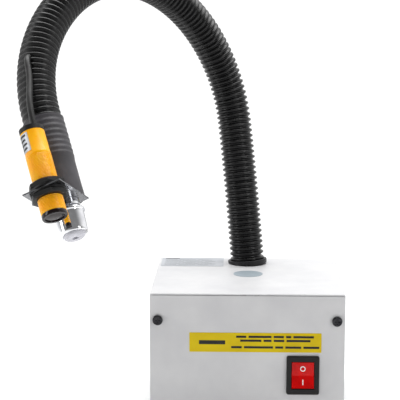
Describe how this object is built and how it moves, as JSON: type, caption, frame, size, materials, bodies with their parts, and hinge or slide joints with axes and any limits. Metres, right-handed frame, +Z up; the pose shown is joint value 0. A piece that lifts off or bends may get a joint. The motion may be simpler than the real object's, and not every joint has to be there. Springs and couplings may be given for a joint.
{
  "type": "bench ionizing air unit",
  "caption": "Small steel bench case with a ribbed gooseneck arm that carries a plated air nozzle and an orange photoelectric trigger sensor.",
  "frame": {"origin": "centre of the case's footprint on the bench, midway between the four feet", "axes": "+Z up, -Y to the front with the switch, +X to the right seen from the front"},
  "size_m": [0.2453, 0.2922, 0.3603],
  "materials": {
    "case_paint": "fine-texture powder coat",
    "black_screw": "black oxide",
    "foot_rubber": "matt",
    "zinc_plate": "bright zinc",
    "yellow_label": "satin vinyl",
    "silver_label": "satin foil",
    "grey_label": "satin vinyl",
    "switch_black": "satin nylon",
    "rocker_red": "translucent, moulded",
    "contact_brass": "stamped",
    "fuse_glass": "clear",
    "fitting_plate": "nickel plate",
    "collet_blue": "moulded acetal",
    "coil_black": "potted",
    "air_line_blue": "extruded polyurethane",
    "board_green": "solder mask",
    "terminal_green": "moulded",
    "wire_brown": "extruded PVC",
    "gland_black": "moulded nylon",
    "hose_black": "extruded, semi-gloss",
    "core_wire": "wound wire",
    "cable_jacket": "satin PVC",
    "sleeve_grey": "satin shrink tube",
    "bracket_steel": "polished stainless",
    "nozzle_chrome": "mirror plate",
    "insulator_white": "turned PTFE",
    "emitter_metal": "ground",
    "sensor_orange": "moulded PBT",
    "sensor_black": "moulded",
    "lens_dark": "tinted acrylic",
    "trimmer_brass": "turned"
  },
  "bodies": {
    "case": {"base_tray": "case_paint", "top_cover": "case_paint", "cover_screws": "black_screw", "rubber_feet": "foot_rubber", "foot_screws": "zinc_plate", "warning_label": "yellow_label", "rating_label": "silver_label", "round_label": "grey_label", "switch_housing": "switch_black", "switch_terminals": "contact_brass", "mains_inlet": "switch_black", "inlet_pins": "contact_brass", "m3_screws": "zinc_plate", "air_inlet": "fitting_plate", "air_inlet_nut": "fitting_plate", "solenoid_valve": "fitting_plate", "valve_coil": "coil_black", "supply_tube": "air_line_blue", "high_voltage_module": "coil_black", "control_board": "board_green", "terminal_block": "terminal_green", "board_standoffs": "zinc_plate", "earth_stud": "zinc_plate", "earth_nut": "zinc_plate", "mains_wires": "wire_brown", "hose_gland": "gland_black", "gland_nut": "gland_black", "hose_root": "hose_black", "hose_flex_1": "hose_black", "gooseneck_core": "core_wire", "air_tube": "air_line_blue", "voltage_cable": "cable_jacket", "sensor_lead_in_arm": "cable_jacket"},
    "rocker": {"switch_rocker": "rocker_red"},
    "fuse_tray": {"fuse_drawer": "switch_black", "fuse": "fuse_glass"},
    "collet": {"release_collet": "collet_blue"},
    "arm_1": {"hose_link_1": "hose_black", "hose_flex_2": "hose_black"},
    "arm_2": {"hose_link_2": "hose_black", "hose_flex_3": "hose_black"},
    "arm_3": {"hose_link_3": "hose_black", "hose_flex_4": "hose_black"},
    "arm_4": {"hose_link_4": "hose_black", "hose_flex_5": "hose_black"},
    "arm_5": {"hose_link_5": "hose_black", "hose_flex_6": "hose_black"},
    "head": {"head_hose": "hose_black", "shrink_sleeve": "sleeve_grey", "sensor_bracket": "bracket_steel", "nozzle": "nozzle_chrome", "nozzle_insulator": "insulator_white", "emitter_pin": "emitter_metal", "sensor_barrel": "sensor_orange", "sensor_nuts": "sensor_black", "sensor_washers": "sensor_black", "sensor_lens_cap": "lens_dark", "sensor_rear_cap": "sensor_black", "sensor_lead": "cable_jacket"},
    "trimmer": {"sensitivity_trimmer": "trimmer_brass"}
  },
  "joints": [
    {"name": "base_lean", "type": "hinge", "parent": "case", "child": "arm_1", "pos_m": [-0.00348, 0.05225, 0.14572], "axis": [-0.96, -0.2735, -0.0602], "range_deg": [-35, 15], "deforming": ["hose_flex_1", "gooseneck_core", "air_tube", "voltage_cable", "sensor_lead_in_arm"]},
    {"name": "base_sway", "type": "hinge", "parent": "arm_1", "child": "arm_2", "pos_m": [-0.00931, 0.06012, 0.20287], "axis": [-0.2578, 0.947, -0.1917], "range_deg": [-35, 35], "deforming": ["hose_flex_2"]},
    {"name": "arch_curl", "type": "hinge", "parent": "arm_2", "child": "arm_3", "pos_m": [-0.03215, 0.06073, 0.28915], "axis": [0.7694, -0.603, 0.2105], "range_deg": [-30, 20], "deforming": ["hose_flex_3"]},
    {"name": "arch_swing", "type": "hinge", "parent": "arm_3", "child": "arm_4", "pos_m": [-0.06986, 0.0283, 0.33409], "axis": [-0.1274, -0.4677, -0.8746], "range_deg": [-35, 35], "deforming": ["hose_flex_4"]},
    {"name": "neck_nod", "type": "hinge", "parent": "arm_4", "child": "arm_5", "pos_m": [-0.12168, -0.03497, 0.34225], "axis": [0.7694, -0.603, 0.2105], "range_deg": [-30, 25], "deforming": ["hose_flex_5"]},
    {"name": "neck_swing", "type": "hinge", "parent": "arm_5", "child": "head", "pos_m": [-0.15171, -0.0876, 0.30537], "axis": [0.9091, 0.119, -0.3992], "range_deg": [-30, 30], "deforming": ["hose_flex_6"]},
    {"name": "rocker_tilt", "type": "hinge", "parent": "case", "child": "rocker", "pos_m": [0.0436, -0.068, 0.0403], "axis": [1, 0, 0], "range_deg": [0, 16]},
    {"name": "fuse_slide", "type": "slide", "parent": "case", "child": "fuse_tray", "axis": [0, 1, 0], "range_m": [0, 0.02]},
    {"name": "collet_press", "type": "slide", "parent": "case", "child": "collet", "axis": [0, -1, 0], "range_m": [0, 0.0012], "stiffness_N_per_m": 400},
    {"name": "trimmer_turn", "type": "hinge", "parent": "head", "child": "trimmer", "pos_m": [-0.15573, -0.16428, 0.24211], "axis": [0.2984, -0.5045, -0.8102], "range_deg": [-135, 135]}
  ]
}
